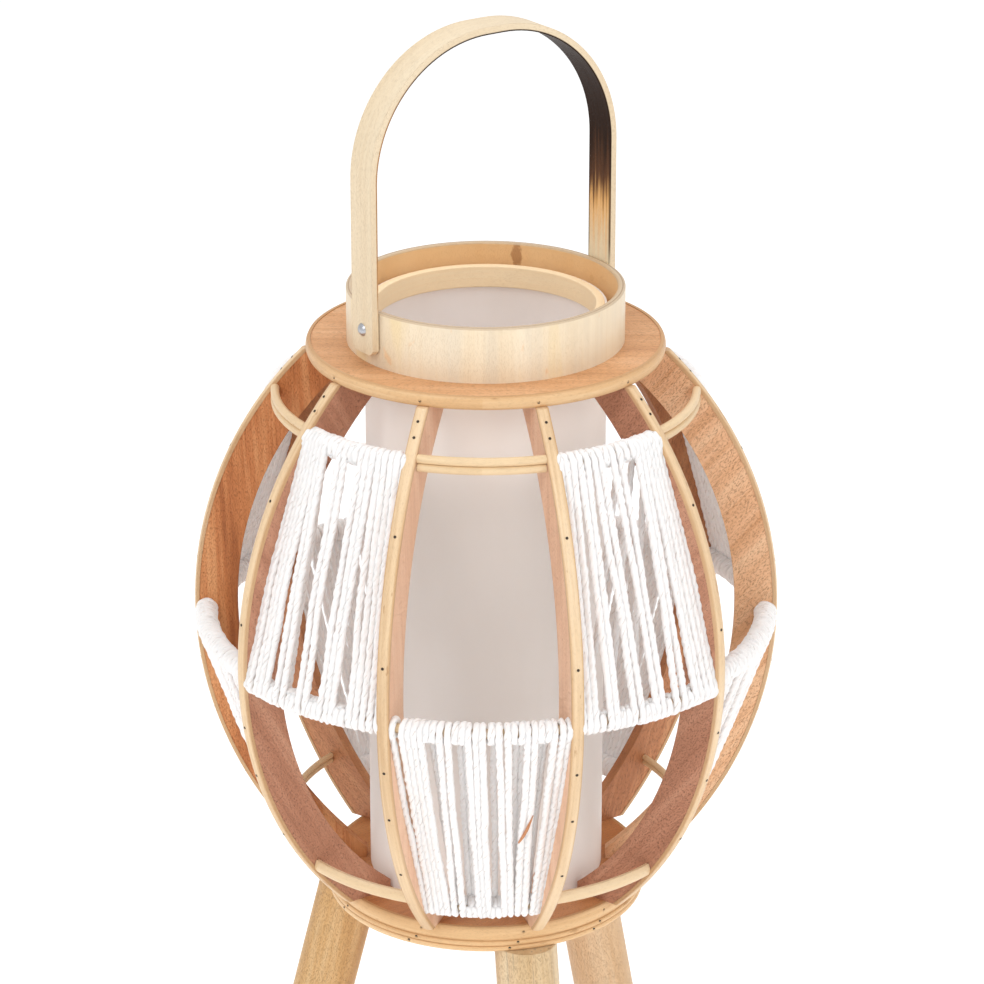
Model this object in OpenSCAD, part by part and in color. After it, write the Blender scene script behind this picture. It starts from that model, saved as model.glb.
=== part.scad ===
// Hurricane candle lantern that stands on three splayed legs.
// A bulging cage of ten plywood ribs, edged with split rattan, joins a base disc to a top
// disc.  Paper-cord panels are wound in its windows, low and high by turns.  A white shade
// tube stands loose in the middle, under a bent-wood collar with a swinging bail handle.
//
// Millimetres, +Z up.  The origin is on the floor, on the lantern's axis, and the middle of
// the front window faces -Y.  Azimuths are counted from -Y towards +X.

/* [Body] */
// Widest diameter, measured over the edging of the ribs
body_d = 370; // [364:1:376]
// Height of the base's underside above the floor
leg_h = 175; // [120:5:240]
// Clear height of the cage between the base disc and the top disc
cage_h = 350; // [340:1:356]
// Radius of the curve that each rib follows
bulge_r = 247.4; // [243:0.2:252]

/* [Ribs and edging] */
// Thickness of a plywood rib
rib_t = 7; // [5:0.5:9]
// Width of a rib across its curve, without the edging
rib_w = 24; // [18:1:28]
// Width of the rattan edging nailed on each rib
edging_w = 7.6; // [5:0.2:10]
// Thickness of that edging
edging_t = 3.2; // [2.4:0.2:4]

/* [Discs and collar] */
// Diameter of the base over its rattan bands
base_d = 204.2; // [202:0.2:206]
// Thickness of the base disc
base_t = 17; // [14:0.5:20]
// Diameter of the top disc over its rattan band
top_d = 223.2; // [220:0.2:226]
// Thickness of the top disc
top_t = 7.8; // [6:0.2:10]
// Outside diameter of the bent-wood collar
collar_d = 172.4; // [168:0.4:174]
// Wall of the collar
collar_wall = 4.8; // [3.6:0.2:5.2]
// Height of the collar above the top disc
collar_rise = 34.6; // [32:0.2:44]

/* [Shade] */
// Outside diameter of the shade tube
shade_d = 150; // [144:1:151]
// Wall of the shade tube
shade_wall = 1.5; // [1:0.1:3]
// Length of the shade tube
shade_len = 380; // [374:1:386]
// Height of the wooden hoop inside the tube's mouth
hoop_h = 14; // [10:1:20]

/* [Cord panels and sticks] */
// Diameter of the paper cord
cord_d = 3.6; // [3:0.1:4.2]
// Diameter of the rods that the cord is wound on
rod_d = 5.8; // [5:0.2:6.4]
// Diameter of the bare rattan sticks across the tops of the windows, in touching pairs
stick_d = 5.4; // [4.4:0.2:5.8]
// Diameter of the thin pairs low in the back windows
thin_stick_d = 3.6; // [3:0.2:4.4]

/* [Handle] */
// Width of the handle strip
handle_w = 22; // [16:1:24]
// Thickness of the handle strip
handle_t = 4.6; // [4:0.2:6]
// Straight length of each side above its pivot
handle_side = 92; // [70:1:110]
// Length of the nearly straight top between the two bends
handle_flat = 12; // [6:1:40]
// Azimuth of the pivot at the front left
handle_turn = -54; // [-90:1:-30]

/* [Legs] */
// Diameter of a leg pole
leg_d = 39.6; // [30:0.2:42]
// Angle by which a leg leans outwards
leg_splay = 13.7; // [8:0.1:16]
// Distance of a leg's centre from the axis at the underside of the base
leg_ring_r = 89; // [80:1:90]

/* [Hidden] */

$fn = 96;

// Colours
pale_wood = "#EFDDB6";
rattan = "#E8C893";
ply = "#B9794F";
cord_white = "#F3F1EC";
opal = "#F2EFEA";
steel = "#A9AAB0";
dark_steel = "#3A3129";

// Gaps between pieces
glue_gap = 0.02;  // pieces that are glued or nailed together
run_gap = 0.05;   // radial clearance of a turning bore

// Heights above the floor
base_top = leg_h + base_t;
top_under = base_top + cage_h;
top_face = top_under + top_t;
collar_rim = top_face + collar_rise;
pivot_z = top_face + 22.6;

// Ribs stand 36 degrees apart, on either side of the front window
rib_count = 10;
rib_step = 360 / rib_count;
// Each rib was set by hand, so some sit a degree or so off their even place
rib_slip = [0.4, -1.7, 0, 0, 0, 0, 0, 0, 0.6, -0.6];
bulge_x = body_d / 2 - bulge_r;
bulge_z = leg_h + 194;
band_t = 3.2;
band_lip = 0.5;
narrow_band_h = 3.7;
base_r = base_d / 2 - band_t;
top_r = top_d / 2 - band_t;
collar_r = collar_d / 2;
collar_inner_r = collar_r - collar_wall;
shade_r = shade_d / 2;
shade_play = 2.5;
rib_clear_r = shade_r + shade_play;

// Wooden hoop in the mouth of the shade
hoop_wall = 5.4;
hoop_proud = 1;

// Bail handle: its inner face just clears the collar, and its lower ends have clipped corners
handle_in_r = collar_r + 0.4;
handle_out_r = handle_in_r + handle_t;
handle_tail = 14.5;
handle_clip = 3;

// Rods and sticks: distance from the axis and height of each ring of them
middle_at = [177.2, leg_h + 186.3];
upper_at = [131, base_top + 320.5];
lower_at = [118, base_top + 23.4];
upper_stick_at = [131, base_top + 322];
thin_stick_at = [126, base_top + 36];
strip_at = [132, base_top + 33.4];
// The middle rods were set by eye too, so they sit higher in some windows
middle_lift = [0, 1.8, 6.5, 0, 0, 0, 0, 0, 6.5, 1.8];
wrap_r = rod_d / 2 + cord_d;

// Fasteners
rivet_d = 4;
rivet_head_d = 8;
rivet_head_h = 2.2;
pin_d = 1.6;
pin_len = 20;
pin_sink = 0.3;
pin_base_r = 94.5;
pin_top_r = 99;
brad_d = 1.8;
brad_len = 10;
brad_proud = 0.1;  // the end of a brad stands a hair above the edging
brad_turns = [-28.2, -16.7, -8.5, 7.5, 25.9, 40, 42.4];  // degrees up the rib's curve
dowel_d = 8;
dowel_len = 46;
dowel_in_base = 12;
leg_azimuths = [17.2, 138.8, -102.3];

function middle_of(k) = middle_at + [0, middle_lift[k - 1]];
function rib_azimuth(k) = (k - 0.5) * rib_step + rib_slip[(k - 1 + rib_count) % rib_count];

// ---------- shared shapes ----------

// Turns its children from the +X axis to an azimuth
module at_azimuth(a) {
    rotate(a - 90) children();
}

// A rectangle w by h, centred, with corners rounded to r
module soft_rect(w, h, r) {
    square([w - 2 * r, h], center = true);
    square([w, h - 2 * r], center = true);
    for (x = [-1, 1], y = [-1, 1])
        translate([x * (w / 2 - r), y * (h / 2 - r)]) circle(r = r, $fn = 24);
}

// A hoop about the axis, from z0 to z1, between two radii
module hoop(r_in, r_out, z0, z1, r_edge) {
    rotate_extrude($fn = 180)
        translate([(r_in + r_out) / 2, (z0 + z1) / 2])
            soft_rect(r_out - r_in, z1 - z0, r_edge);
}

// Section of split rattan, w wide and t thick: flat at x = 0, domed on its outer side
module split_rattan(w, t) {
    dome_h = 1.2;
    dome_r = (w * w / 4 + dome_h * dome_h) / (2 * dome_h);
    intersection() {
        translate([0, -w / 2]) square([t, w]);
        translate([t - dome_r, 0]) circle(r = dome_r, $fn = 96);
    }
}

// A split-rattan band bent round a disc, from z0 to z1
module rattan_band(r_disc, r_out, z0, z1) {
    rotate_extrude($fn = 180)
        translate([r_disc + glue_gap, (z0 + z1) / 2])
            split_rattan(z1 - z0, r_out - r_disc - glue_gap);
}

// The side view of a rib, between two depths below the outermost curve
module rib_side(depth_out, depth_in) {
    intersection() {
        translate([bulge_x, bulge_z]) difference() {
            circle(r = bulge_r - depth_out, $fn = 360);
            circle(r = bulge_r - depth_in, $fn = 360);
        }
        translate([rib_clear_r, base_top + glue_gap]) square([body_d, cage_h - 2 * glue_gap]);
    }
}

// The space of window k: between the facing edges of the edgings on ribs k - 1 and k
module window_space(k) {
    reach = body_d;
    side = max(rib_t, edging_w) / 2 + glue_gap;
    intersection() {
        at_azimuth(rib_azimuth(k - 1)) translate([0, side, leg_h]) cube(reach);
        at_azimuth(rib_azimuth(k)) translate([0, -side - reach, leg_h]) cube(reach);
    }
}

// A ring of section children(), cut to the span of window k
module in_window(k) {
    intersection() {
        window_space(k);
        at_azimuth(rib_azimuth(k - 1)) rotate_extrude(angle = rib_step + 4, $fn = 180) children();
    }
}

// A bare round stick that follows the ring through "at" in window k
module window_stick(k, at, d) {
    in_window(k) translate(at) circle(d = d, $fn = 32);
}

// A pair of touching sticks, one over the other
module stick_pair(k, at, d) {
    for (side = [-1, 1])
        window_stick(k, [at[0], at[1] + side * (d + glue_gap) / 2], d);
}

// A belt's section round two rods of the same size: "grow" is its distance from their
// centres.  Its straight runs lie a hair inside the turns round the rods.
module belt_section(a, b, grow) {
    run = b - a;
    side = grow - 0.25;
    translate(a) circle(r = grow, $fn = 48);
    translate(b) circle(r = grow, $fn = 48);
    translate(a) rotate(atan2(run[1], run[0]) - 90) translate([-side, 0]) square([2 * side, norm(run)]);
}

// A brad driven square through the curve of a rib, "turn" degrees up its curve
module rib_brad(k, turn) {
    at_azimuth(rib_azimuth(k)) translate([bulge_x, 0, bulge_z]) rotate([0, 90 - turn, 0])
        translate([0, 0, bulge_r + brad_proud - brad_len]) cylinder(d = brad_d, h = brad_len, $fn = 16);
}

module rib_brads(k) {
    for (turn = brad_turns) rib_brad(k, turn);
}

// A brad driven inwards through a band
module band_brad(azimuth, z, r_out) {
    at_azimuth(azimuth) translate([r_out - brad_len, 0, z]) rotate([0, 90, 0])
        cylinder(d = brad_d, h = brad_len, $fn = 16);
}

// ---------- base ----------

module base_disc() {
    color(ply) difference() {
        translate([0, 0, leg_h]) cylinder(r = base_r, h = base_t, $fn = 180);
        leg_dowels();
        rib_pins_base();
        band_brads();
    }
}

// Three split-rattan bands cover the edge of the base: a broad one over two narrow ones
module base_band(z0, z1) {
    color(rattan) difference() {
        rattan_band(base_r, base_d / 2, z0, z1 - glue_gap);
        band_brads();
    }
}

module base_upper_band() {
    base_band(leg_h + 2 * narrow_band_h, base_top);
}

module base_middle_band() {
    base_band(leg_h + narrow_band_h, leg_h + 2 * narrow_band_h);
}

module base_lower_band() {
    base_band(leg_h, leg_h + narrow_band_h);
}

// ---------- top ----------

module top_disc() {
    color(ply) difference() {
        translate([0, 0, top_under]) cylinder(r = top_r, h = top_t, $fn = 180);
        translate([0, 0, top_under - 1]) cylinder(r = collar_r + glue_gap, h = top_t + 2, $fn = 180);
        rib_pins_top();
        band_brads();
    }
}

module top_disc_band() {
    color(rattan) difference() {
        rattan_band(top_r, top_d / 2, top_under + glue_gap, top_face + band_lip);
        band_brads();
    }
}

module collar_hoop() {
    color(pale_wood) difference() {
        hoop(collar_inner_r, collar_r, top_under, collar_rim, 1);
        for (side = [0, 180])
            at_azimuth(handle_turn + side) translate([0, 0, pivot_z]) rotate([0, 90, 0])
                cylinder(d = rivet_d + 2 * glue_gap, h = body_d, $fn = 48);
    }
}

// ---------- cage ----------

module rib(k) {
    color(ply) difference() {
        at_azimuth(rib_azimuth(k)) rotate([90, 0, 0])
            linear_extrude(rib_t, center = true) rib_side(edging_t + glue_gap, edging_t + rib_w);
        rib_brads(k);
        rib_pin_base(k);
        rib_pin_top(k);
    }
}

// Split rattan: flat against the rib, rounded outside, cut level at both discs
module rib_edging(k) {
    color(rattan) difference() {
        intersection() {
            at_azimuth(rib_azimuth(k)) translate([bulge_x, 0, bulge_z]) rotate([90, 0, 0])
                rotate(-60) rotate_extrude(angle = 120, $fn = 360)
                    translate([bulge_r - edging_t, 0]) split_rattan(edging_w, edging_t);
            translate([-body_d, -body_d, base_top + glue_gap])
                cube([2 * body_d, 2 * body_d, cage_h - 2 * glue_gap]);
        }
        rib_brads(k);
    }
}

// Cord wound round two rods, as one hollow belt the width of window k
module cord_panel(k) {
    low = k % 2 == 1;
    a = low ? lower_at : middle_of(k);
    b = low ? middle_of(k) : upper_at;
    color(cord_white) in_window(k) difference() {
        belt_section(a, b, wrap_r);
        belt_section(a, b, rod_d / 2 + glue_gap);
    }
}

module middle_rods() {
    color(rattan) for (k = [1 : rib_count]) window_stick(k, middle_of(k), rod_d);
}

module upper_rods() {
    color(rattan) for (k = [2 : 2 : rib_count]) window_stick(k, upper_at, rod_d);
}

module lower_rods() {
    color(rattan) for (k = [1 : 2 : rib_count]) window_stick(k, lower_at, rod_d);
}

module upper_sticks() {
    color(rattan) for (k = [1 : 2 : rib_count]) stick_pair(k, upper_stick_at, stick_d);
}

// Under the high panels: one split-rattan strip in the windows beside the front one,
// a pair of thin sticks in the others
module lower_sticks() {
    color(rattan) {
        for (k = [2, 10]) in_window(k) translate(strip_at) split_rattan(edging_w, edging_t);
        for (k = [4, 6, 8]) stick_pair(k, thin_stick_at, thin_stick_d);
    }
}

// ---------- shade ----------

module shade_tube() {
    color(opal) translate([0, 0, base_top + glue_gap]) difference() {
        cylinder(r = shade_r, h = shade_len, $fn = 180);
        translate([0, 0, -1]) cylinder(r = shade_r - shade_wall, h = shade_len + 2, $fn = 180);
    }
}

module shade_hoop() {
    hoop_top = base_top + shade_len + hoop_proud;
    color(pale_wood)
        hoop(shade_r - shade_wall - hoop_wall, shade_r - shade_wall - glue_gap, hoop_top - hoop_h, hoop_top, 0.8);
}

// ---------- handle ----------

// Front view of the bail, its pivots level with the origin: r is half its width
module bail_front(r, reach) {
    bend_r = r - handle_flat / 2;
    for (side = [-1, 1]) translate([side * handle_flat / 2, handle_side]) circle(r = bend_r, $fn = 180);
    translate([-handle_flat / 2, 0]) square([handle_flat, handle_side + bend_r]);
    translate([-r, -reach]) square([2 * r, handle_side + reach]);
}

// Side view of the bail: a strip with both lower corners clipped
module bail_side() {
    w = handle_w / 2;
    top = handle_side + handle_out_r + 1;
    polygon([
        [-w, handle_clip - handle_tail],
        [handle_clip - w, -handle_tail],
        [w - handle_clip, -handle_tail],
        [w, handle_clip - handle_tail],
        [w, top],
        [-w, top]
    ]);
}

module handle() {
    color(pale_wood) at_azimuth(handle_turn) translate([0, 0, pivot_z]) difference() {
        intersection() {
            rotate([90, 0, 0]) linear_extrude(handle_w, center = true) difference() {
                bail_front(handle_out_r, handle_tail);
                bail_front(handle_in_r, handle_tail + 1);
            }
            rotate([90, 0, 90]) linear_extrude(2 * handle_out_r + 2, center = true) bail_side();
        }
        rotate([0, 90, 0]) cylinder(d = rivet_d + 2 * run_gap, h = 3 * handle_out_r, center = true, $fn = 48);
    }
}

// Domed head outside the strip, shank through strip and collar, filed flush inside the collar
module handle_rivet(azimuth) {
    head_at = handle_out_r + 0.1;
    dome_r = (pow(rivet_head_d / 2, 2) + pow(rivet_head_h, 2)) / (2 * rivet_head_h);
    at_azimuth(azimuth) translate([0, 0, pivot_z]) rotate([0, 90, 0]) rotate_extrude($fn = 48) {
        translate([0, collar_inner_r]) square([rivet_d / 2, head_at + 0.5 - collar_inner_r]);
        intersection() {
            translate([0, head_at + rivet_head_h - dome_r]) circle(r = dome_r, $fn = 96);
            translate([0, head_at]) square([rivet_head_d, rivet_head_h]);
        }
    }
}

module handle_rivets() {
    color(steel) for (side = [0, 180]) handle_rivet(handle_turn + side);
}

// ---------- legs ----------

// A leaning pole cut level under the base and on the floor
module leg(azimuth) {
    spare = 40;
    color(pale_wood) difference() {
        intersection() {
            at_azimuth(azimuth) translate([leg_ring_r, 0, leg_h]) rotate([0, 180 - leg_splay, 0])
                translate([0, 0, -spare]) cylinder(d = leg_d, h = leg_h / cos(leg_splay) + 2 * spare);
            translate([-body_d, -body_d, 0]) cube([2 * body_d, 2 * body_d, leg_h - glue_gap]);
        }
        leg_dowels();
    }
}

module leg_front() {
    leg(leg_azimuths[0]);
}

module leg_right() {
    leg(leg_azimuths[1]);
}

module leg_left() {
    leg(leg_azimuths[2]);
}

module leg_dowels() {
    color(pale_wood) for (a = leg_azimuths)
        at_azimuth(a) translate([leg_ring_r - 1, 0, leg_h + dowel_in_base - dowel_len])
            cylinder(d = dowel_d, h = dowel_len, $fn = 48);
}

// ---------- pins and brads ----------

module rib_pin_base(k) {
    color(dark_steel) at_azimuth(rib_azimuth(k)) translate([pin_base_r, 0, leg_h + 2])
        cylinder(d = pin_d, h = pin_len + 3, $fn = 16);
}

module rib_pin_top(k) {
    color(dark_steel) at_azimuth(rib_azimuth(k)) translate([pin_top_r, 0, top_face - pin_sink - pin_len])
        cylinder(d = pin_d, h = pin_len, $fn = 16);
}

module rib_pins_base() {
    for (k = [1 : rib_count]) rib_pin_base(k);
}

module rib_pins_top() {
    for (k = [1 : rib_count]) rib_pin_top(k);
}

module edging_brads() {
    color(dark_steel) for (k = [1 : rib_count]) rib_brads(k);
}

module band_brads() {
    flush = 0.05;
    color(dark_steel) for (k = [1 : rib_count]) {
        band_brad(rib_azimuth(k) - 4, leg_h + 2 * narrow_band_h + 5.4, base_d / 2 - flush);
        band_brad(rib_azimuth(k) - 6, leg_h + 1.6 * narrow_band_h, base_d / 2 - flush);
        band_brad(rib_azimuth(k) - 9, leg_h + 0.6 * narrow_band_h, base_d / 2 - flush);
        band_brad(rib_azimuth(k) - 1, top_under + 3.6, top_d / 2 - flush);
    }
}

// ---------- nodes ----------

base_disc();
base_upper_band();
base_middle_band();
base_lower_band();
top_disc();
top_disc_band();
collar_hoop();
rib(1);  // rib_01
rib(2);  // rib_02
rib(3);  // rib_03
rib(4);  // rib_04
rib(5);  // rib_05
rib(6);  // rib_06
rib(7);  // rib_07
rib(8);  // rib_08
rib(9);  // rib_09
rib(10);  // rib_10
rib_edging(1);  // rib_edging_01
rib_edging(2);  // rib_edging_02
rib_edging(3);  // rib_edging_03
rib_edging(4);  // rib_edging_04
rib_edging(5);  // rib_edging_05
rib_edging(6);  // rib_edging_06
rib_edging(7);  // rib_edging_07
rib_edging(8);  // rib_edging_08
rib_edging(9);  // rib_edging_09
rib_edging(10);  // rib_edging_10
cord_panel(1);  // cord_panel_01
cord_panel(2);  // cord_panel_02
cord_panel(3);  // cord_panel_03
cord_panel(4);  // cord_panel_04
cord_panel(5);  // cord_panel_05
cord_panel(6);  // cord_panel_06
cord_panel(7);  // cord_panel_07
cord_panel(8);  // cord_panel_08
cord_panel(9);  // cord_panel_09
cord_panel(10);  // cord_panel_10
middle_rods();
upper_rods();
lower_rods();
upper_sticks();
lower_sticks();
handle();
handle_rivets();
shade_tube();
shade_hoop();
leg_front();
leg_right();
leg_left();
leg_dowels();
rib_pins_top();
rib_pins_base();
edging_brads();
band_brads();
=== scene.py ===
import math

import bmesh
import bpy
import numpy as np
from mathutils import Euler, Matrix, Vector


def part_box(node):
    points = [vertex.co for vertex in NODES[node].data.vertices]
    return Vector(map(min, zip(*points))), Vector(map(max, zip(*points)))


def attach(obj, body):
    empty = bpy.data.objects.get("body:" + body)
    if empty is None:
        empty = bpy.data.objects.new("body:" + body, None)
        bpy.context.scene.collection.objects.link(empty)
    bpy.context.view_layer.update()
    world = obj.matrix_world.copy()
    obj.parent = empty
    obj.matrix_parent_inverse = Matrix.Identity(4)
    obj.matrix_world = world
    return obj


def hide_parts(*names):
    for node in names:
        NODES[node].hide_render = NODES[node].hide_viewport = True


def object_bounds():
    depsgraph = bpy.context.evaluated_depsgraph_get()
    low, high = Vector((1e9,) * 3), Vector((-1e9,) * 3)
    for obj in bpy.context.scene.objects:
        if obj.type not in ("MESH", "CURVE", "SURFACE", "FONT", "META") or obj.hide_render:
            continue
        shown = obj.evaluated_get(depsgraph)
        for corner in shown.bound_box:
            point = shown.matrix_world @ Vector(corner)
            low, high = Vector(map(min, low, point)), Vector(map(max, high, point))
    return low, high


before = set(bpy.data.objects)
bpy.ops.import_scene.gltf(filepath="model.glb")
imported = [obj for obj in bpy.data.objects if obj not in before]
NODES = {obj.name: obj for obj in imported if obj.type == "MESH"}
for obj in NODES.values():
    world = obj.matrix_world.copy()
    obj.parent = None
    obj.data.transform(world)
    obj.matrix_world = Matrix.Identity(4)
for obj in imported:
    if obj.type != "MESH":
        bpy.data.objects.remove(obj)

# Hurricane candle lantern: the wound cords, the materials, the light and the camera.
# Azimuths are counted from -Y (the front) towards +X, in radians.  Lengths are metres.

CAD_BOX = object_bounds()
TAU = 2 * math.pi

# The cage
WINDOWS = 10
BULGE_CENTRE = Vector((-0.0624, 0.369))  # centre of the ribs' curve: distance from the axis, height
BULGE_RADIUS = 0.2474
LEG_SPLAY = math.radians(13.7)
LEG_RING = 0.089        # from the axis to the middle of a leg's top
HOOP_RING = 0.071       # to the middle of the shade hoop's wall
COLLAR_RING = 0.0862    # to the outside of the collar
COLLAR_INNER = 0.0814   # to its inside

# The handle
HANDLE_TURN = math.radians(-54)
BEND_REACH = 0.0852     # from the centre of each bend to its outer face
BEND_SHIFT = 0.006      # of those centres from the handle's middle
HANDLE_HALF = 0.011     # half its strip's width
SCORCH_TAN = (0.583, 0.628)     # heights between which its inner face turns tan, then brown, then black
SCORCH_BROWN = (0.614, 0.642)
SCORCH_BLACK = (0.632, 0.672)
SCORCH_RIM = (0.57, 0.60)       # heights between which that face's two edges turn black

# The shade: heights between which its painted glow grows, upwards to its mouth and downwards to its foot
PAINTED_GLOW_MOUTH = (0.46, 0.51)
PAINTED_GLOW_FOOT = (0.33, 0.23)

# The paper cord
CORD_RADIUS = 0.0021
CORD_TWIST = 0.0195     # length in which its three plies go once round
CORD_PLIES = 3
CORD_SIDES = 12
RING_SPACING = 0.0013
CORD_BOW = 0.0018       # how far a strand bows outwards between its rods
CORD_STEPS = 40         # points in each turn or run, before it is divided evenly


# ---------- places taken from the frame ----------

def on_ring(distance, azimuth, height):
    """A point at a distance from the lantern's axis."""
    return Vector((distance * math.sin(azimuth), -distance * math.cos(azimuth), height))


def azimuth_of(node):
    """The azimuth of a node's middle."""
    low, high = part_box(node)
    middle = (low + high) / 2
    return math.atan2(middle.x, -middle.y)


def window_span(k):
    """The azimuths of the ribs on the two sides of window k."""
    left = azimuth_of(f"rib_{(k - 2) % WINDOWS + 1:02d}")
    right = azimuth_of(f"rib_{k:02d}")
    while right < left:
        right += TAU
    return left, right


def rod_in_window(node, k):
    """(distance from the axis, height) of the rod of a node that lies in window k, and its radius."""
    left, right = window_span(k)
    rings = []
    for vertex in NODES[node].data.vertices:
        x, y, z = NODES[node].matrix_world @ vertex.co
        if (math.atan2(x, -y) - left) % TAU < right - left:
            rings.append((math.hypot(x, y), z))
    low, high = np.min(rings, axis=0), np.max(rings, axis=0)
    return (low + high) / 2, (high[1] - low[1]) / 2


EDGING_HALF = (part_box("rib_edging_03")[1].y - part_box("rib_edging_03")[0].y) / 2


# ---------- cords ----------

def resample(path, spacing):
    """The path with points at even spacing, and each point's distance along it."""
    steps = np.linalg.norm(np.diff(path, axis=0), axis=1)
    along = np.concatenate(([0], np.cumsum(steps)))
    even = np.linspace(0, along[-1], max(4, round(along[-1] / spacing)))
    return np.column_stack([np.interp(even, along, path[:, i]) for i in range(3)]), even


def smooth_noise(rng, along, feature):
    """Smooth values between -1 and 1 that change over about one feature length."""
    knots = rng.uniform(-1, 1, int(along[-1] / feature) + 3)
    place = along / feature
    first = place.astype(int)
    part = place - first
    part = part * part * (3 - 2 * part)
    return knots[first] * (1 - part) + knots[first + 1] * part


class CordMesh:
    """Collects twisted cords into one mesh, with a UV of (turns of twist, part of the way round)."""

    def __init__(self, seed):
        self.rng = np.random.RandomState(seed)
        self.points = []
        self.quads = []
        self.caps = []
        self.uvs = []
        self.count = 0

    def lay(self, path, radius=CORD_RADIUS):
        """Adds one cord along a path of points."""
        centre, along = resample(path, RING_SPACING)
        tangent = np.gradient(centre, axis=0)
        tangent /= np.linalg.norm(tangent, axis=1)[:, None]
        sideways = np.column_stack((-centre[:, 1], centre[:, 0], 0 * along))
        sideways -= (sideways * tangent).sum(1)[:, None] * tangent
        sideways /= np.linalg.norm(sideways, axis=1)[:, None]
        across = np.cross(tangent, sideways)

        start = self.rng.uniform(0, 1)
        turns = start + along / CORD_TWIST + 0.22 * smooth_noise(self.rng, along, 0.022)
        angle = np.linspace(0, TAU, CORD_SIDES, endpoint=False)
        phase = angle[None, :] - TAU * turns[:, None]
        swell = 1 + 0.10 * smooth_noise(self.rng, along, 0.0045)[:, None] \
            + 0.06 * smooth_noise(self.rng, along, 0.012)[:, None]
        depth = 0.115 + 0.07 * smooth_noise(self.rng, along, 0.011)[:, None]
        lobes = 1 + depth * np.cos(CORD_PLIES * phase)
        size = radius * swell * lobes
        ring = (
            centre[:, None, :]
            + (size * np.cos(angle))[:, :, None] * sideways[:, None, :]
            + (size * np.sin(angle))[:, :, None] * across[:, None, :]
        )
        rings = len(centre)
        first = self.count + np.arange(rings - 1)[:, None] * CORD_SIDES
        here = np.arange(CORD_SIDES)[None, :]
        after = (here + 1) % CORD_SIDES
        next_ring = first + CORD_SIDES
        quads = np.stack((first + here, first + after, next_ring + after, next_ring + here), axis=-1)
        round_here = np.broadcast_to(here / CORD_SIDES, quads.shape[:2])
        round_after = round_here + 1 / CORD_SIDES
        twist_here = np.broadcast_to(turns[:-1, None], quads.shape[:2])
        twist_after = np.broadcast_to(turns[1:, None], quads.shape[:2])
        uv = np.stack((twist_here, round_here, twist_here, round_after,
                       twist_after, round_after, twist_after, round_here), axis=-1)
        self.points.append(ring.reshape(-1, 3))
        self.quads.append(quads.reshape(-1, 4))
        self.uvs.append(uv.reshape(-1, 2))
        last = self.count + (rings - 1) * CORD_SIDES
        self.caps.append([self.count + i for i in reversed(range(CORD_SIDES))])
        self.caps.append([last + i for i in range(CORD_SIDES)])
        self.count += rings * CORD_SIDES

    def build(self, name):
        """The finished object."""
        faces = np.vstack(self.quads).tolist() + self.caps
        mesh = bpy.data.meshes.new(name)
        mesh.from_pydata(np.vstack(self.points).tolist(), [], faces)
        uv = np.zeros((len(mesh.loops), 2))
        sides = np.vstack(self.uvs)
        uv[:len(sides)] = sides
        mesh.uv_layers.new(name="cord").data.foreach_set("uv", uv.ravel())
        mesh.polygons.foreach_set("use_smooth", [True] * len(mesh.polygons))
        mesh.update()
        piece = bpy.data.objects.new(name, mesh)
        bpy.context.scene.collection.objects.link(piece)
        return piece


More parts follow.
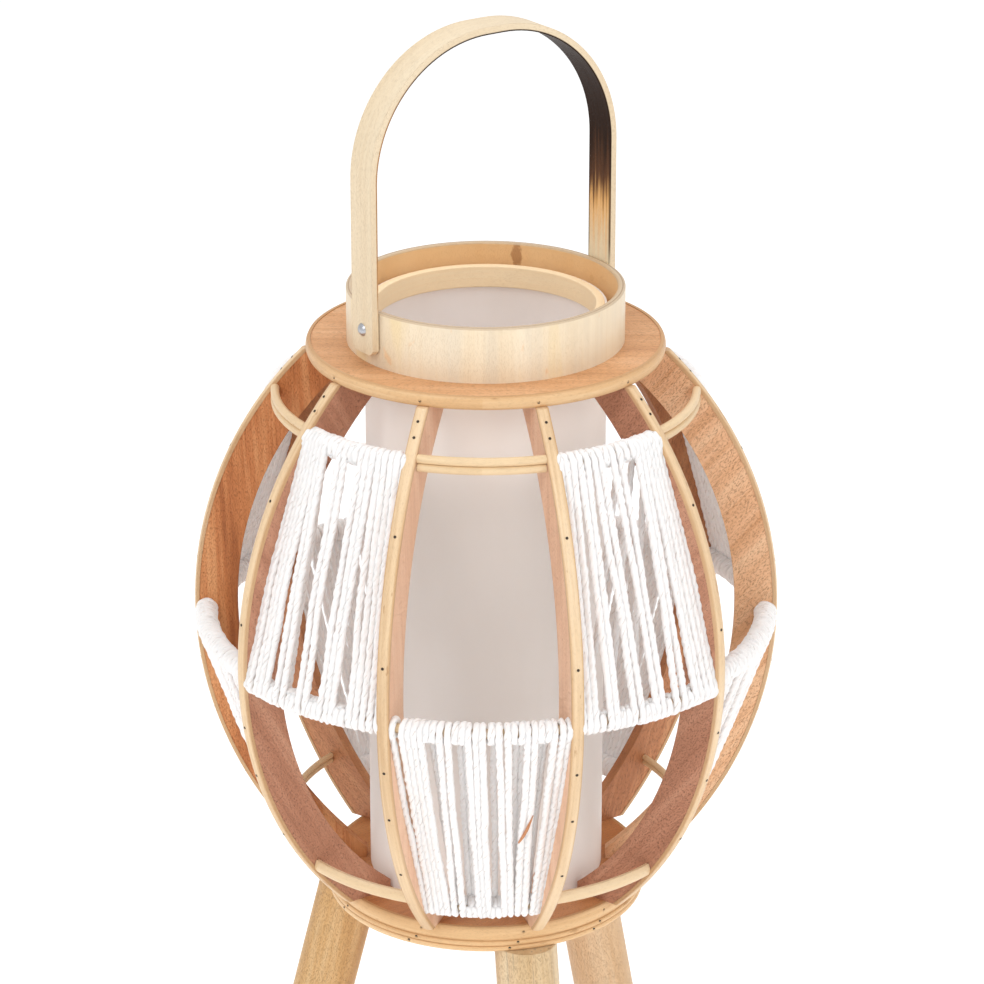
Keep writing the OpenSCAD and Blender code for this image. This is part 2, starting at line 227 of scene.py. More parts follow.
class Panel:
    """The cord wound between two rods of window k: groups of strands with bare turns of cord between them.

    Each group is (strands, its start and end on the wide rod, its start and end on the narrow rod), and each
    crossing strand is (place on the wide rod, place on the narrow rod).  Places run from 0 at the left rib's
    middle to 1 at the right rib's.
    """

    def __init__(self, k, groups, crossings):
        low = k % 2 == 1
        self.k = k
        self.groups = groups
        self.crossings = crossings
        self.wide = 1 if low else 0
        middle, rod_radius = rod_in_window("middle_rods", k)
        other, _ = rod_in_window("lower_rods" if low else "upper_rods", k)
        self.rods = (other, middle) if low else (middle, other)
        self.wrap = rod_radius + CORD_RADIUS
        rise = self.rods[1] - self.rods[0]
        self.up = rise / np.linalg.norm(rise)
        self.out = np.array((self.up[1], -self.up[0]))
        self.mesh = CordMesh(100 + k)
        self.lean = 0.35 * (1 if k % 4 < 2 else -1)

    def azimuth(self, place):
        """The azimuth of a place across the window."""
        left, right = window_span(self.k)
        return left + (right - left) * place

    def turn(self, end, place, start, stop):
        """Points round the rod at one end (0 bottom, 1 top), from one angle to another.

        Angle 0 is the outside of the panel, and it grows round the far side of the rod.
        """
        angle = np.radians(np.linspace(start, stop, CORD_STEPS))
        away = self.up if end else -self.up
        ring = np.cos(angle)[:, None] * self.out + np.sin(angle)[:, None] * away
        flat = self.rods[end] + self.wrap * ring
        pitch = 2 * CORD_RADIUS / self.rods[end][0]
        lean = self.lean * self.mesh.rng.uniform(0.2, 2.2)
        turned = self.azimuth(place) + lean * pitch * angle / TAU
        return np.column_stack((flat[:, 0] * np.sin(turned), -flat[:, 0] * np.cos(turned), flat[:, 1]))

    def run(self, start, stop, bow):
        """Points between two turns, bowed outwards and wandering a little sideways."""
        rng = self.mesh.rng
        part = np.linspace(0, 1, CORD_STEPS)[1:-1]
        length = np.linalg.norm(stop - start)
        straight = start + (stop - start) * part[:, None]
        hold = np.sin(math.pi * part)
        wander = 0.0007 * smooth_noise(rng, part * length, 0.045)
        wander += 0.0003 * smooth_noise(rng, part * length, 0.014)
        side = np.cross(stop - start, (0, 0, 1))
        side /= np.linalg.norm(side)
        outwards = np.array((start[0], start[1], 0)) / np.hypot(start[0], start[1])
        bulge = bow * hold + 0.0004 * smooth_noise(rng, part * length, 0.03)
        return straight + (wander * hold)[:, None] * side + (bulge * hold)[:, None] * outwards

    def strand(self, bottom, top):
        """A strand on the outside of the panel, with a turn round each rod."""
        over = self.turn(1, top, 300, 0)
        under = self.turn(0, bottom, 0, 300)
        bow = CORD_BOW * self.mesh.rng.uniform(0.6, 1.2)
        self.mesh.lay(np.vstack((over, self.run(over[-1], under[0], bow), under)))

    def crossing(self, bottom, top):
        """A strand on the inside of the panel."""
        over = self.turn(1, top, 110, 180)
        under = self.turn(0, bottom, 180, 110)
        self.mesh.lay(np.vstack((over, self.run(over[-1], under[0], 0.0), under)), CORD_RADIUS * 0.9)

    def bare_turns(self, end, start, stop):
        """Fills a gap between two groups with turns round one rod only."""
        gap = (self.azimuth(stop) - self.azimuth(start)) * self.rods[end][0]
        count = round(gap / (1.9 * CORD_RADIUS))
        for i in range(count):
            part = (i + 0.5 + self.mesh.rng.uniform(-0.15, 0.15)) / count
            self.mesh.lay(self.turn(end, start + (stop - start) * part, -50, 318), CORD_RADIUS * 1.06)

    def wind(self):
        """Lays every strand and turn, and puts the panel in place of its plain CAD belt."""
        rng = self.mesh.rng
        ends = {self.wide: 0.02, 1 - self.wide: 0.02}
        for count, wide_start, wide_end, narrow_start, narrow_end in self.groups:
            spans = {self.wide: (wide_start, wide_end), 1 - self.wide: (narrow_start, narrow_end)}
            for end, (start, stop) in spans.items():
                self.bare_turns(end, ends[end], start)
                ends[end] = stop
            for i in range(count):
                places = {end: start + (stop - start) * (i + 0.5 + rng.uniform(-0.08, 0.08)) / count
                          for end, (start, stop) in spans.items()}
                self.strand(places[0], places[1])
        for wide_place, narrow_place in self.crossings:
            places = {self.wide: wide_place, 1 - self.wide: narrow_place}
            self.crossing(places[0], places[1])
        piece = self.mesh.build(f"cord_winding_{self.k:02d}")
        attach(piece, "cage")
        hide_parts(f"cord_panel_{self.k:02d}")
        return piece


def mirrored(groups):
    """The groups in the opposite order, left for right."""
    return [(n, 1 - b, 1 - a, 1 - d, 1 - c) for n, a, b, c, d in reversed(groups)]


def fan(count, wide_start, wide_end, narrow_start, narrow_end):
    """Crossing strands at even spacing."""
    wide = np.linspace(wide_start, wide_end, count).tolist()
    narrow = np.linspace(narrow_start, narrow_end, count).tolist()
    return list(zip(wide, narrow))


# Groups of strands: (strands, start and end on the wide rod, start and end on the narrow rod)
FRONT_LOW = [
    (1, 0.017, 0.068, 0.017, 0.076), (4, 0.078, 0.210, 0.078, 0.253), (2, 0.272, 0.355, 0.256, 0.372),
    (3, 0.418, 0.530, 0.465, 0.565), (2, 0.575, 0.660, 0.650, 0.746), (2, 0.727, 0.800, 0.750, 0.860),
    (3, 0.866, 0.983, 0.880, 0.983),
]
LEFT_HIGH = [
    (2, 0.014, 0.083, 0.016, 0.100), (3, 0.098, 0.225, 0.100, 0.208), (2, 0.262, 0.365, 0.208, 0.292),
    (2, 0.430, 0.522, 0.391, 0.492), (3, 0.589, 0.700, 0.590, 0.735), (5, 0.768, 0.982, 0.742, 0.982),
]
RIGHT_HIGH = [
    (3, 0.020, 0.133, 0.020, 0.175), (2, 0.185, 0.265, 0.178, 0.288), (2, 0.336, 0.428, 0.292, 0.400),
    (2, 0.488, 0.566, 0.451, 0.587), (2, 0.622, 0.735, 0.696, 0.778), (5, 0.779, 0.984, 0.779, 0.984),
]
SOME_LOW = [
    (3, 0.018, 0.130, 0.018, 0.180), (2, 0.190, 0.270, 0.200, 0.320), (4, 0.330, 0.480, 0.360, 0.580),
    (2, 0.550, 0.630, 0.600, 0.700), (4, 0.690, 0.840, 0.720, 0.900), (2, 0.900, 0.982, 0.910, 0.982),
]
BACK_HIGH = [(11, 0.018, 0.480, 0.018, 0.480), (11, 0.510, 0.982, 0.500, 0.982)]
BACK_LOW = [(7, 0.018, 0.310, 0.018, 0.310), (8, 0.330, 0.650, 0.320, 0.660), (8, 0.670, 0.982, 0.670, 0.982)]
FRONT_CROSSINGS = [
    (0.222, 0.262), (0.246, 0.256), (0.375, 0.390), (0.402, 0.430), (0.560, 0.590),
    (0.690, 0.742), (0.715, 0.758), (0.825, 0.805), (0.850, 0.870),
]
PANELS = {
    1: (FRONT_LOW, FRONT_CROSSINGS),
    2: (RIGHT_HIGH, fan(3, 0.09, 0.40, 0.66, 0.97)),
    3: (SOME_LOW, fan(3, 0.15, 0.75, 0.35, 0.90)),
    4: (BACK_HIGH, []),
    5: (BACK_LOW, []),
    6: (mirrored(BACK_HIGH), []),
    7: (mirrored(BACK_LOW), []),
    8: (BACK_HIGH, []),
    9: (mirrored(SOME_LOW), fan(3, 0.85, 0.30, 0.70, 0.15)),
    10: (LEFT_HIGH, [(0.30, 0.14)]),
}


def build_cords():
    """All ten wound panels."""
    return [Panel(k, groups, crossings).wind() for k, (groups, crossings) in PANELS.items()]


# ---------- shader building ----------

class Shader:
    """A material's node tree, with short calls that add nodes and join them."""

    def __init__(self, name):
        self.material = bpy.data.materials.new(name)
        self.material.use_nodes = True
        self.nodes = self.material.node_tree.nodes
        self.links = self.material.node_tree.links
        self.surface = self.nodes["Principled BSDF"]

    def put(self, socket, value):
        """Joins an output to a socket, or writes a plain value in it."""
        if isinstance(value, bpy.types.NodeSocket):
            self.links.new(value, socket)
        elif isinstance(value, (tuple, list)) and len(value) == 3 and socket.type == "RGBA":
            socket.default_value = (*value, 1)
        else:
            socket.default_value = value

    def set(self, **inputs):
        """Fills inputs of the surface, such as Base_Color."""
        for key, value in inputs.items():
            self.put(self.surface.inputs[key.replace("_", " ")], value)

    def add(self, kind, inputs=(), **settings):
        """A new node with its inputs filled in order (None leaves one alone)."""
        node = self.nodes.new("ShaderNode" + kind)
        for key, value in settings.items():
            setattr(node, key, value)
        for socket, value in zip(node.inputs, inputs):
            if value is not None:
                self.put(socket, value)
        return node

    def math(self, operation, a, b=0.0, clamp=False):
        """The result of a Math node."""
        return self.add("Math", (a, b), operation=operation, use_clamp=clamp).outputs[0]

    def scaled(self, value, factor, offset=0.0):
        """value * factor + offset"""
        return self.add("Math", (value, factor, offset), operation="MULTIPLY_ADD").outputs[0]

    def between(self, value, low, high):
        """0 at low and beyond, 1 at high and beyond; low may be the greater of the two."""
        node = self.add("MapRange", (value, low, high, 0.0, 1.0), interpolation_type="SMOOTHSTEP")
        return node.outputs[0]

    def length(self, a, b):
        """The length of a line that goes a one way and b across it."""
        squares = self.math("ADD", self.math("MULTIPLY", a, a), self.math("MULTIPLY", b, b))
        return self.math("POWER", squares, 0.5)

    def off(self, value, middle):
        """How far a value lies from a middle, either way."""
        return self.math("ABSOLUTE", self.math("SUBTRACT", value, middle))

    def mix(self, factor, a, b):
        """A colour between a and b."""
        node = self.add("Mix", data_type="RGBA", clamp_factor=True)
        self.put(node.inputs[0], factor)
        self.put(node.inputs[6], a)
        self.put(node.inputs[7], b)
        return node.outputs[2]

    def tones(self, value, *colours):
        """A colour from evenly spaced stops."""
        ramp = self.add("ValToRGB", (value,))
        stops = ramp.color_ramp.elements
        while len(stops) < len(colours):
            stops.new(0.5)
        for i, colour in enumerate(colours):
            stops[i].position = i / (len(colours) - 1)
            stops[i].color = (*colour, 1)
        return ramp.outputs[0]

    def noise(self, vector, detail=2.0, distortion=0.0, roughness=0.5):
        """Noise with features one unit wide."""
        node = self.add("TexNoise", noise_dimensions="3D")
        self.put(node.inputs["Vector"], vector)
        self.put(node.inputs["Scale"], 1.0)
        self.put(node.inputs["Detail"], detail)
        self.put(node.inputs["Roughness"], roughness)
        self.put(node.inputs["Distortion"], distortion)
        return node.outputs["Fac"]

    def here(self):
        """Where the surface is, in the row frame at rest."""
        return self.add("TexCoord").outputs["Object"]

    def placed(self, location, rotation):
        """Coordinates in a frame that stands at a place and is turned."""
        return self.add("Mapping", (self.here(), location, rotation), vector_type="TEXTURE").outputs[0]

    def stretch(self, vector, scale, shift=(0, 0, 0)):
        """The vector times a scale, so that one unit is a feature's size."""
        return self.add("Mapping", (vector, shift, (0, 0, 0), scale), vector_type="POINT").outputs[0]

    def split(self, vector):
        """The three parts of a vector."""
        return self.add("SeparateXYZ", (vector,)).outputs

    def join(self, x, y, z):
        """A vector from its three parts."""
        return self.add("CombineXYZ", (x, y, z)).outputs[0]

    def bump(self, height, distance, edge=0.0):
        """Raises the surface by height * distance; edge rounds its edges by that radius."""
        node = self.add("Bump", (1.0, distance))
        self.put(node.inputs["Height"], height)
        if edge:
            rounded = self.add("Bevel", (edge,), samples=4)
            self.put(node.inputs["Normal"], rounded.outputs[0])
        self.put(self.surface.inputs["Normal"], node.outputs[0])


# ---------- directions of the grain ----------
# Each returns a function that gives a shader its coordinates with X along the grain.

def straight_grain(direction):
    """Straight grain in a level disc, at an angle from +X."""
    return lambda shader: shader.placed((0, 0, 0), (0, 0, direction))


def rib_grain(azimuth, tilt, shift):
    """Straight grain in a rib's plane, tilted from upright."""
    return lambda shader: shader.placed((0, 0, shift), (0, tilt - math.pi / 2, azimuth - math.pi / 2))


def bulge_grain(azimuth):
    """Grain that follows a rib's curve: X along it, Y across the edging, Z out from it."""
    def coordinates(shader):
        corner = on_ring(BULGE_CENTRE.x, azimuth, BULGE_CENTRE.y)
        x, y, z = shader.split(shader.placed(corner, (0, 0, azimuth - math.pi / 2)))[:3]
        along = shader.scaled(shader.math("ARCTAN2", z, x), BULGE_RADIUS, azimuth)
        return shader.join(along, y, shader.length(x, z))
    return coordinates


def hoop_grain(radius, shift=0.0, upright=False):
    """Grain round a hoop: X along it, Y outwards, Z up; an upright one has its X up instead."""
    def coordinates(shader):
        x, y, z = shader.split(shader.here())[:3]
        out = shader.length(x, y)
        along = shader.scaled(shader.math("ARCTAN2", x, y), radius, shift)
        return shader.join(z, along, out) if upright else shader.join(along, out, z)
    return coordinates


def leg_grain(azimuth, ring, height):
    """Grain along a splayed leg."""
    top = on_ring(ring, azimuth, height)
    return lambda shader: shader.placed(top, (0, math.pi / 2 - LEG_SPLAY, azimuth - math.pi / 2))


# ---------- materials ----------

def wood(name, grain, tones, *, figure=55, streaks=480, contrast=1.0, pores=0.3, roughness=0.5,
         relief=0.00012, edge=0.0005, finish=None, seed=0.0):
    """Wood with broad figure, fine streaks and open pores along its grain."""
    shader = Shader(name)
    along = grain(shader)
    shift = (seed * 3.7, seed * 5.1, seed * 2.3)
    broad = shader.noise(shader.stretch(along, (5, figure, figure), shift), detail=3, distortion=0.3)
    fine = shader.noise(shader.stretch(along, (16, streaks, streaks), shift), detail=5, roughness=0.6)
    pore = shader.noise(shader.stretch(along, (500, 2600, 2600), shift), detail=1)
    cut = shader.between(pore, 0.56, 0.68)
    value = shader.math("ADD", shader.scaled(broad, 1.5 * contrast, 0.5 - 1.2 * contrast),
                        shader.scaled(fine, 0.9 * contrast), clamp=True)
    colour = shader.tones(value, *tones)
    colour = shader.mix(shader.scaled(cut, pores), colour, [0.45 * c for c in tones[0]])
    if finish:
        colour = finish(shader, colour, along)
    height = shader.math("SUBTRACT", fine, shader.scaled(cut, 0.8))
    shader.set(Base_Color=colour, Roughness=shader.scaled(fine, 0.25, roughness - 0.12))
    if not shader.surface.inputs["Specular IOR Level"].is_linked:
        shader.put(shader.surface.inputs["Specular IOR Level"], 0.35)
    shader.bump(height, relief, edge=edge)
    return shader.material


def stain(shader, colour, where, tone, size, amount, low=0.62, high=0.72, shift=(0, 0, 0)):
    """Patches of another tone, about one size across."""
    patch = shader.between(shader.noise(shader.stretch(where, size, shift), detail=3), low, high)
    return shader.mix(shader.scaled(patch, amount), colour, tone)


def edging_finish(shader, colour, along):
    """Rattan skin: painted shade darker towards its two rounded edges, a few brown marks."""
    side = shader.math("ABSOLUTE", shader.split(along)[1])
    # Painted shade: the strip darkens towards its rounded edges
    rim = shader.between(side, EDGING_HALF * 0.62, EDGING_HALF * 1.02)
    colour = shader.mix(shader.scaled(rim, 0.55), colour, (0.50, 0.25, 0.09))
    return stain(shader, colour, along, (0.40, 0.18, 0.06), (70, 260, 260), 0.5, 0.68, 0.74)


def band_finish(low, high):
    """Rattan skin bent round a disc, with painted shade darker towards its top and bottom edges."""
    middle = (low + high) / 2
    half = (high - low) / 2

    def finish(shader, colour, along):
        side = shader.off(shader.split(along)[2], middle)
        # Painted shade: darker towards the band's rounded top and bottom edges
        rim = shader.between(side, half * 0.60, half * 1.05)
        colour = shader.mix(shader.scaled(rim, 0.45), colour, (0.46, 0.22, 0.08))
        return stain(shader, colour, along, (0.40, 0.18, 0.06), (60, 260, 260), 0.5, 0.68, 0.74)
    return finish


# Tones of the woods, from dark grain to light grain
PLY = ((0.42, 0.16, 0.065), (0.57, 0.245, 0.11), (0.70, 0.36, 0.18))
PLY_ORANGE = ((0.40, 0.125, 0.035), (0.58, 0.21, 0.07), (0.74, 0.34, 0.14))
PLY_WARM = ((0.68, 0.33, 0.15), (0.86, 0.50, 0.28), (0.94, 0.64, 0.40))
PLY_PINK = ((0.40, 0.17, 0.095), (0.54, 0.255, 0.155), (0.68, 0.37, 0.24))
PLY_LIGHT = ((0.72, 0.41, 0.25), (0.86, 0.54, 0.36), (0.93, 0.66, 0.48))
PLY_TOP = ((0.55, 0.26, 0.11), (0.70, 0.37, 0.175), (0.82, 0.49, 0.27))
PLY_BASE = ((0.42, 0.15, 0.055), (0.60, 0.255, 0.10), (0.74, 0.38, 0.17))
BAND = ((0.68, 0.40, 0.18), (0.82, 0.53, 0.27), (0.92, 0.67, 0.40))
BAND_TOP = ((0.60, 0.34, 0.15), (0.74, 0.46, 0.23), (0.86, 0.62, 0.36))
RATTAN = ((0.64, 0.42, 0.23), (0.82, 0.60, 0.37), (0.92, 0.74, 0.53))
STICK = ((0.70, 0.48, 0.26), (0.82, 0.61, 0.37), (0.90, 0.72, 0.49))
COLLAR = ((0.77, 0.61, 0.41), (0.88, 0.74, 0.54), (0.94, 0.84, 0.68))
HOOP = ((0.88, 0.63, 0.37), (0.94, 0.73, 0.47), (0.97, 0.81, 0.57))
BAIL = ((0.66, 0.49, 0.30), (0.80, 0.65, 0.45), (0.89, 0.78, 0.60))
LEG_TONES = {
    "leg_front": ((0.60, 0.40, 0.20), (0.76, 0.56, 0.33), (0.85, 0.69, 0.46)),
    "leg_right": ((0.66, 0.41, 0.21), (0.77, 0.52, 0.30), (0.84, 0.62, 0.40)),
    "leg_left": ((0.48, 0.25, 0.09), (0.66, 0.39, 0.16), (0.80, 0.56, 0.30)),
}


# The ribs that the front shows well: tones, amount of pores, and tilt of the grain in degrees
STRIPED_RIB = 8
RIB_TONES = {1: PLY_LIGHT, 2: PLY_PINK, 3: PLY_WARM, 8: PLY_ORANGE, 9: PLY_PINK, 10: PLY_LIGHT}
RIB_PORES = {1: 0.15, 8: 0.08, 10: 0.15}
RIB_TILTS = {1: -4, 3: 42, 8: 2, 10: 4}


def paint(node, material):
    """Gives a CAD node one material."""
    slots = NODES[node].data.materials
    slots.clear()
    slots.append(material)


def paint_cage():
    """Ribs, edgings, discs, bands and sticks."""
    for k in range(1, WINDOWS + 1):
        azimuth = azimuth_of(f"rib_{k:02d}")
        tilt = math.radians(RIB_TILTS.get(k, 18 + 11 * (k % 4)))
        tones = RIB_TONES.get(k, PLY)
        pores = RIB_PORES.get(k, 0.45)
        contrast = 1.7 if k == STRIPED_RIB else 1.0
        paint(f"rib_{k:02d}", wood(f"ply_{k:02d}", rib_grain(azimuth, tilt, 0.05 * k), tones, figure=80,
                                   contrast=contrast, pores=pores, relief=0.0004, seed=k))
        paint(f"rib_edging_{k:02d}", wood(f"edging_{k:02d}", bulge_grain(azimuth), RATTAN, contrast=1.2,
                                          pores=0.12, roughness=0.42, finish=edging_finish, seed=k))
    paint("top_disc", wood("top_ply", straight_grain(0.0), PLY_TOP, figure=70, pores=0.5, seed=1.3))
    paint("base_disc", wood("base_ply", straight_grain(math.radians(38)), PLY_BASE, figure=60, pores=0.5,
                            roughness=0.35, seed=2.1))
    for i, node in enumerate(("top_disc_band", "base_upper_band", "base_middle_band", "base_lower_band")):
        low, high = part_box(node)
        tones = BAND_TOP if node == "top_disc_band" else BAND
        paint(node, wood(f"band_{i}", hoop_grain(high.x, i), tones, contrast=0.9, pores=0.15, roughness=0.4,
                         finish=band_finish(low.z, high.z), seed=i + 0.5))
    for i, node in enumerate(("upper_sticks", "lower_sticks", "upper_rods", "middle_rods", "lower_rods")):
        paint(node, wood(f"stick_{i}", hoop_grain(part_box(node)[1].x, i), STICK, contrast=0.6, pores=0.1,
                         roughness=0.35, edge=0, seed=i + 0.2))


KNOT_PLACE = 0.0195     # along the collar's inner face, from its back towards +X
KNOT_DEPTH = 0.007      # below the collar's rim
KNOT_WIDTH = 0.0040
KNOT_HEIGHT = 0.0085


def collar_finish(shader, colour, along):
    """Cream and grey bands outside; inside, a knot and a warmer tone, partly painted bounce light; a ply line
    in the rim.
    """
    height, round_it, out = shader.split(along)[:3]
    band = shader.noise(shader.join(shader.scaled(height, 4), shader.scaled(round_it, 42), 0.0), detail=3)
    colour = shader.mix(shader.scaled(shader.between(band, 0.50, 0.64), 0.35), colour, (0.72, 0.64, 0.52))
    colour = shader.mix(shader.scaled(shader.between(band, 0.46, 0.36), 0.6), colour, (0.88, 0.69, 0.38))
    colour = stain(shader, colour, shader.here(), (0.86, 0.42, 0.10), (90, 90, 60), 0.35, 0.66, 0.74)
    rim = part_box("collar_hoop")[1].z
    inside = shader.between(out, COLLAR_INNER + 0.0024, COLLAR_INNER + 0.0008)
    across = shader.scaled(round_it, 1 / KNOT_WIDTH, -KNOT_PLACE / KNOT_WIDTH)
    up = shader.scaled(height, 1 / KNOT_HEIGHT, (KNOT_DEPTH - rim) / KNOT_HEIGHT)
    ragged = shader.noise(shader.stretch(along, (300, 300, 300)), detail=3)
    spread = shader.math("ADD", shader.math("MULTIPLY", across, across), shader.math("MULTIPLY", up, up))
    knot = shader.between(shader.math("ADD", spread, shader.scaled(ragged, 1.6, -0.8)), 1.2, 0.5)
    # The inner face's warmer tone: partly the wood's own, partly painted light bounced off the wood around it
    warm = shader.mix(shader.scaled(band, 0.6), (0.82, 0.49, 0.22), (0.93, 0.67, 0.38))
    warm = shader.mix(shader.scaled(knot, 0.75), warm, (0.42, 0.19, 0.07))
    colour = shader.mix(inside, colour, warm)
    level = shader.between(height, rim - 0.0012, rim - 0.0006)
    line = shader.between(shader.off(out, COLLAR_INNER + 0.0032), 0.0006, 0.0001)
    colour = shader.mix(shader.scaled(level, 0.75), colour, (0.60, 0.45, 0.30))
    return shader.mix(shader.math("MULTIPLY", level, shader.scaled(line, 0.7)), colour, (0.36, 0.20, 0.10))


def handle_grain(shader):
    """Grain along the bent strip: X along it, Y across its width, Z from the centre of the bend."""
    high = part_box("handle")[1]
    centre = Vector((0, 0, high.z - BEND_REACH))
    x, y, z = shader.split(shader.placed(centre, (0, 0, HANDLE_TURN - math.pi / 2)))[:3]
    aside = shader.math("MAXIMUM", shader.math("SUBTRACT", shader.math("ABSOLUTE", x), BEND_SHIFT), 0.0)
    above = shader.math("MAXIMUM", z, 0.0)
    radius = shader.length(aside, above)
    bend = shader.scaled(shader.math("ARCTAN2", above, x), BEND_REACH)
    return shader.join(shader.math("ADD", bend, shader.math("MINIMUM", z, 0.0)), y, radius)


def handle_finish(shader, colour, along):
    """The inner face is scorched black through the bend and fades to streaks down each side."""
    x, y, radius = shader.split(along)[:3]
    inner = shader.between(radius, BEND_REACH - 0.0034, BEND_REACH - 0.0041)
    height = shader.split(shader.here())[2]
    streak = shader.noise(shader.stretch(along, (18, 420, 420)), detail=4)
    ragged = shader.math("ADD", height, shader.scaled(streak, 0.07, -0.035))
    far_side = shader.between(x, 0.09, 0.02)
    black = shader.mix(far_side, (0.028, 0.012, 0.006), (0.42, 0.20, 0.075))
    # Painted light: the bare inner face is painted paler than the wood, making up for the light it lacks
    bare = shader.mix(0.7, colour, (0.95, 0.82, 0.58))
    burnt = shader.mix(shader.between(ragged, *SCORCH_TAN), bare, (0.90, 0.50, 0.18))
    burnt = shader.mix(shader.between(ragged, *SCORCH_BROWN), burnt, (0.13, 0.055, 0.025))
    burnt = shader.mix(shader.between(ragged, *SCORCH_BLACK), burnt, black)
    edge = shader.between(shader.math("ABSOLUTE", y), HANDLE_HALF - 0.0018, HANDLE_HALF - 0.0002)
    rim = shader.math("MULTIPLY", edge, shader.between(height, *SCORCH_RIM))
    burnt = shader.mix(shader.scaled(rim, 0.85), burnt, black)
    shader.put(shader.surface.inputs["Specular IOR Level"], shader.scaled(inner, -0.30, 0.35))
    return shader.mix(inner, colour, burnt)


def weathered(brown, grey):
    """A finish of brown and grey weather streaks along a pole, in those amounts."""
    def finish(shader, colour, along):
        colour = stain(shader, colour, along, (0.46, 0.20, 0.06), (11, 120, 120), brown, 0.52, 0.70)
        colour = stain(shader, colour, along, (0.34, 0.28, 0.20), (9, 300, 300), grey, 0.58, 0.68, (5, 2, 7))
        return stain(shader, colour, along, (0.20, 0.11, 0.06), (45, 110, 110), brown, 0.69, 0.73, (1, 8, 3))
    return finish


LEG_FINISH = {
    "leg_front": weathered(0.20, 0.55),
    "leg_right": weathered(0.10, 0.08),
    "leg_left": weathered(0.65, 0.25),
}


def painted_glow(shader, colour, along):
    """A painted glow: a little emission that lifts the wood standing in the shade's mouth, in the collar's
    shade.
    """
    shader.set(Emission_Color=colour, Emission_Strength=0.06)
    return colour


def paint_pale_wood():
    """Collar, shade hoop, handle, legs."""
    paint("collar_hoop", wood("collar", hoop_grain(COLLAR_RING, upright=True), COLLAR, figure=45,
                              contrast=0.6, pores=0.0, roughness=0.42, finish=collar_finish, seed=0.7))
    # The shade hoop gets a painted glow
    paint("shade_hoop", wood("hoop", hoop_grain(HOOP_RING), HOOP, contrast=0.6, pores=0.05,
                             finish=painted_glow, seed=3.3))
    paint("handle", wood("handle_wood", handle_grain, BAIL, contrast=0.6, pores=0.15, roughness=0.42,
                         finish=handle_finish, seed=4.4))
    for i, (node, finish) in enumerate(LEG_FINISH.items()):
        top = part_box(node)[1].z
        grain = leg_grain(azimuth_of(node), LEG_RING, top)
        paint(node, wood(f"leg_wood_{i}", grain, LEG_TONES[node], figure=70, streaks=300, pores=0.03,
                         relief=0.0004, finish=finish, seed=i * 1.7))
    paint("leg_dowels", wood("dowel", leg_grain(0, 0, 0), HOOP, seed=6.0))


def paint_shade():
    """Opal sheet, matt, a little uneven, with a painted glow towards its mouth and foot, lilac inside."""
    shader = Shader("opal_shade")
    cloud = shader.noise(shader.stretch(shader.here(), (14, 14, 6)), detail=3, distortion=0.4)
    grit = shader.noise(shader.stretch(shader.here(), (900, 900, 900)), detail=2)
    colour = shader.tones(cloud, (0.73, 0.65, 0.60), (0.79, 0.72, 0.67), (0.85, 0.79, 0.76))
    x, y, height = shader.split(shader.here())[:3]
    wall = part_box("shade_tube")[1].x
    inside = shader.between(shader.length(x, y), wall - 0.0004, wall - 0.0012)
    # Painted light: emission that brightens the shade towards its mouth and its foot, and a little on its
    # inner wall
    glow = shader.scaled(shader.between(height, *PAINTED_GLOW_MOUTH), 0.13, 0.01)
    glow = shader.math("ADD", glow, shader.scaled(shader.between(height, *PAINTED_GLOW_FOOT), 0.13))
    glow = shader.math("ADD", glow, shader.scaled(inside, 0.02))
    shader.set(Base_Color=colour,
               Roughness=shader.scaled(grit, 0.2, 0.45),
               Subsurface_Weight=0.5,
               Subsurface_Radius=(1.0, 0.9, 0.85),
               Subsurface_Scale=0.006,
               Emission_Color=shader.mix(inside, colour, (0.80, 0.77, 0.79)),
               Emission_Strength=glow)
    shader.bump(grit, 0.00003)
    paint("shade_tube", shader.material)


def metal(name, colour, metallic, roughness):
    """Scratched metal; returns its shader and its colour."""
    shader = Shader(name)
    scratch = shader.noise(shader.stretch(shader.here(), (1500, 300, 1500)), detail=4)
    dark = [0.75 * c for c in colour]
    light = [1.25 * c for c in colour]
    scratched = shader.tones(scratch, dark, colour, light)
    shader.set(Base_Color=scratched,
               Metallic=metallic,
               Roughness=shader.scaled(scratch, 0.3, roughness - 0.15))
    shader.bump(scratch, 0.00003)
    return shader, scratched


def paint_metal():
    """Plated rivets, with their ends plugged inside the collar; dark brads and pins."""
    plate, plated = metal("rivet_plate", (0.50, 0.51, 0.54), 0.9, 0.34)
    x, y = plate.split(plate.here())[:2]
    plug = plate.between(plate.length(x, y), COLLAR_INNER + 0.0004, COLLAR_INNER + 0.0001)
    plate.set(Base_Color=plate.mix(plug, plated, (0.78, 0.47, 0.21)),
              Metallic=plate.scaled(plug, -0.9, 0.9))
    paint("handle_rivets", plate.material)
    steel, _ = metal("dark_steel", (0.060, 0.040, 0.028), 0.35, 0.6)
    for node in ("edging_brads", "band_brads", "rib_pins_top", "rib_pins_base"):
        paint(node, steel.material)


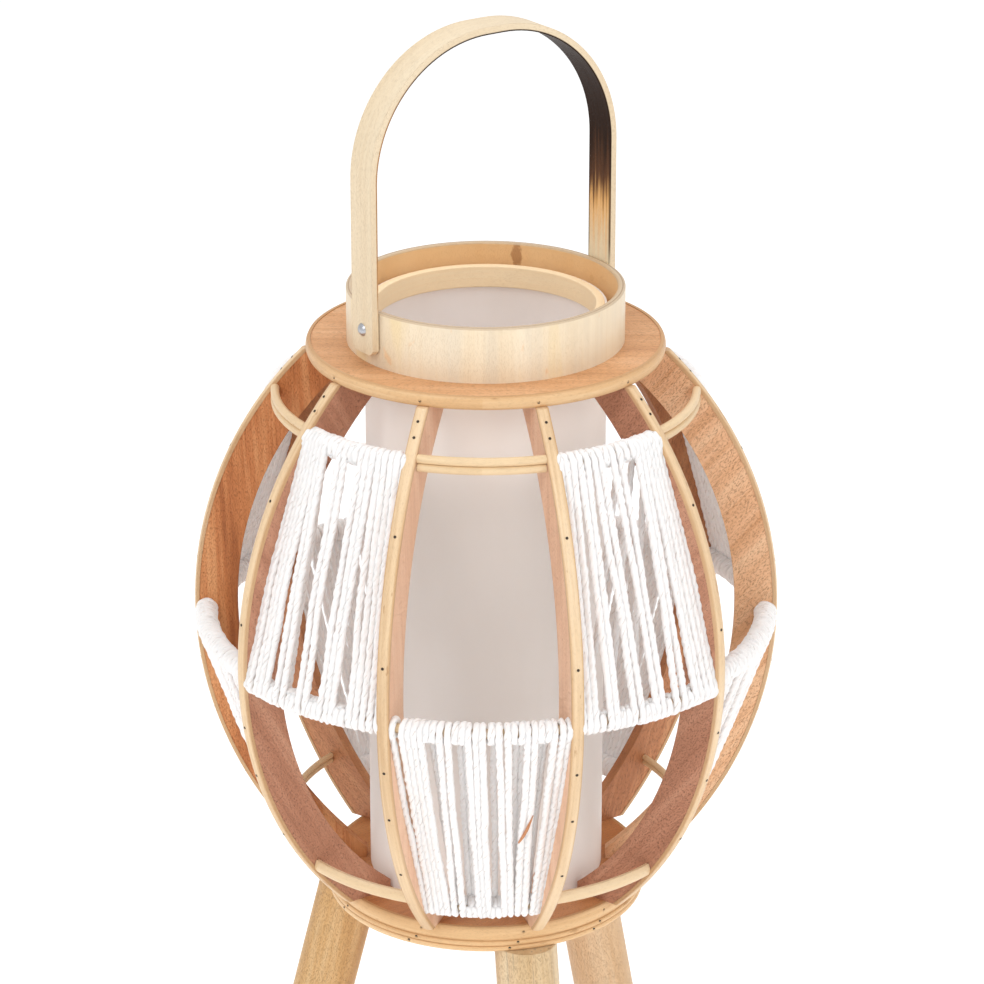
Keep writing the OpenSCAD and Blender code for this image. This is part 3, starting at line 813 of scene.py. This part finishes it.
def cord_material():
    """Paper cord, white and matt: fibres along the plies, painted shade in its creases here and there, a
    painted glow.
    """
    shader = Shader("paper_cord")
    uv = shader.add("UVMap", uv_map="cord").outputs[0]
    twist, round_part = shader.split(uv)[:2]
    phase = shader.scaled(shader.math("SUBTRACT", round_part, twist), CORD_PLIES * TAU)
    crease = shader.math("POWER", shader.scaled(shader.math("COSINE", phase), -0.5, 0.5), 5.0)
    fibre = shader.noise(shader.join(shader.scaled(phase, 2.2), shader.scaled(twist, 1.2), 0.0), detail=3)
    patch = shader.noise(shader.stretch(shader.here(), (160, 160, 160)), detail=3)
    gaps = shader.noise(shader.stretch(shader.here(), (230, 230, 230)), detail=1)
    broken = shader.between(gaps, 0.54, 0.64)
    # Painted shade: the creases between the plies are darkened here and there
    painted_crease_shade = shader.math("MULTIPLY", shader.math("POWER", crease, 3.0), shader.scaled(broken, 0.75))
    colour = shader.tones(patch, (0.80, 0.77, 0.755), (0.86, 0.84, 0.83), (0.89, 0.875, 0.87))
    colour = shader.mix(painted_crease_shade, colour, (0.60, 0.55, 0.51))
    # Painted light: a faint emission lifts strands that lie in shade
    shader.set(Base_Color=colour,
               Roughness=0.85,
               Sheen_Weight=0.1,
               Subsurface_Weight=0.5,
               Subsurface_Radius=(1.0, 0.9, 0.85),
               Subsurface_Scale=0.003,
               Emission_Color=colour,
               Emission_Strength=0.07)
    height = shader.math("ADD", shader.scaled(fibre, 0.7), shader.scaled(crease, -0.4))
    shader.bump(height, 0.00028)
    return shader.material


# ---------- splinter ----------

def build_splinter():
    """A chip of brown wood caught on the outside of the front panel."""
    foot = Vector((0.0225, -0.1503, 0.2758))
    tip = Vector((0.0317, -0.1577, 0.2977))
    along = tip - foot
    aside = along.cross(Vector((0, -1, 0))).normalized()
    facing = aside.cross(along).normalized()
    widths = (0.0005, 0.0010, 0.0010, 0.0007, 0.0002)
    chip = bmesh.new()
    rings = []
    for i, width in enumerate(widths):
        part = i / (len(widths) - 1)
        middle = foot + along * part + aside * 0.0006 * math.sin(4 * part)
        corners = ((-width, -0.0004), (width, -0.0003), (0.8 * width, 0.0005), (-0.7 * width, 0.0004))
        rings.append([chip.verts.new(middle + aside * u + facing * v) for u, v in corners])
    for one, next_one in zip(rings, rings[1:]):
        for i in range(4):
            chip.faces.new((one[i], one[(i + 1) % 4], next_one[(i + 1) % 4], next_one[i]))
    chip.faces.new(reversed(rings[0]))
    chip.faces.new(rings[-1])
    bmesh.ops.recalc_face_normals(chip, faces=chip.faces)
    mesh = bpy.data.meshes.new("wood_splinter")
    chip.to_mesh(mesh)
    chip.free()
    piece = bpy.data.objects.new("wood_splinter", mesh)
    bpy.context.scene.collection.objects.link(piece)
    mesh.materials.append(wood("splinter", rib_grain(0.17, 0.4, 0.0), PLY, edge=0, seed=8.0))
    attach(piece, "cage")


# ---------- light, floor and camera ----------

def soft_light(name, place, aim, size, power):
    """A square soft light at a place, turned towards its aim."""
    data = bpy.data.lights.new(name, "AREA")
    data.energy = power
    data.size = size
    lamp = bpy.data.objects.new(name, data)
    lamp.location = place
    lamp.rotation_euler = (Vector(aim) - Vector(place)).to_track_quat("-Z", "Y").to_euler()
    bpy.context.scene.collection.objects.link(lamp)


def build_studio():
    """White surroundings, a pale floor, and soft lights in front, above and at the sides."""
    scene = bpy.context.scene
    world = bpy.data.worlds.new("studio")
    world.use_nodes = True
    backdrop = world.node_tree.nodes["Background"]
    backdrop.inputs["Color"].default_value = (1, 1, 1, 1)
    backdrop.inputs["Strength"].default_value = 0.74
    scene.world = world
    scene.view_settings.view_transform = "Standard"

    body = CAD_BOX[0].lerp(CAD_BOX[1], 0.5)
    soft_light("key", (-1.4, -2.2, 2.4), body, 1.4, 23)
    soft_light("fill", (1.9, -1.6, 1.6), body, 1.6, 12)
    soft_light("overhead", (0.1, 0.3, 2.6), body, 1.6, 14)

    mesh = bpy.data.meshes.new("floor")
    rim = bmesh.new()
    bmesh.ops.create_circle(rim, cap_ends=True, segments=96, radius=7)
    rim.to_mesh(mesh)
    rim.free()
    floor = bpy.data.objects.new("floor", mesh)
    scene.collection.objects.link(floor)
    shader = Shader("floor_paint")
    mottle = shader.noise(shader.stretch(shader.here(), (3, 3, 3)), detail=3)
    shader.set(Base_Color=shader.tones(mottle, (0.93, 0.93, 0.93), (0.95, 0.95, 0.95)), Roughness=0.8,
               Emission_Color=(1, 1, 1), Emission_Strength=0.28)
    mesh.materials.append(shader.material)


def build_camera():
    """A long lens, in front of the lantern and 21.5 degrees above level."""
    data = bpy.data.cameras.new("camera")
    data.lens = 147
    data.clip_end = 50
    camera = bpy.data.objects.new("camera", data)
    yaw = math.radians(0.9)
    camera.location = Matrix.Rotation(yaw, 3, "Z") @ Vector((0.0039, -2.350, 1.371))
    camera.rotation_euler = Euler((math.radians(68.52), 0, yaw))
    bpy.context.scene.collection.objects.link(camera)
    bpy.context.scene.camera = camera


paper_cord = cord_material()
for winding in build_cords():
    winding.data.materials.append(paper_cord)
build_splinter()
paint_cage()
paint_pale_wood()
paint_shade()
paint_metal()
build_studio()
build_camera()
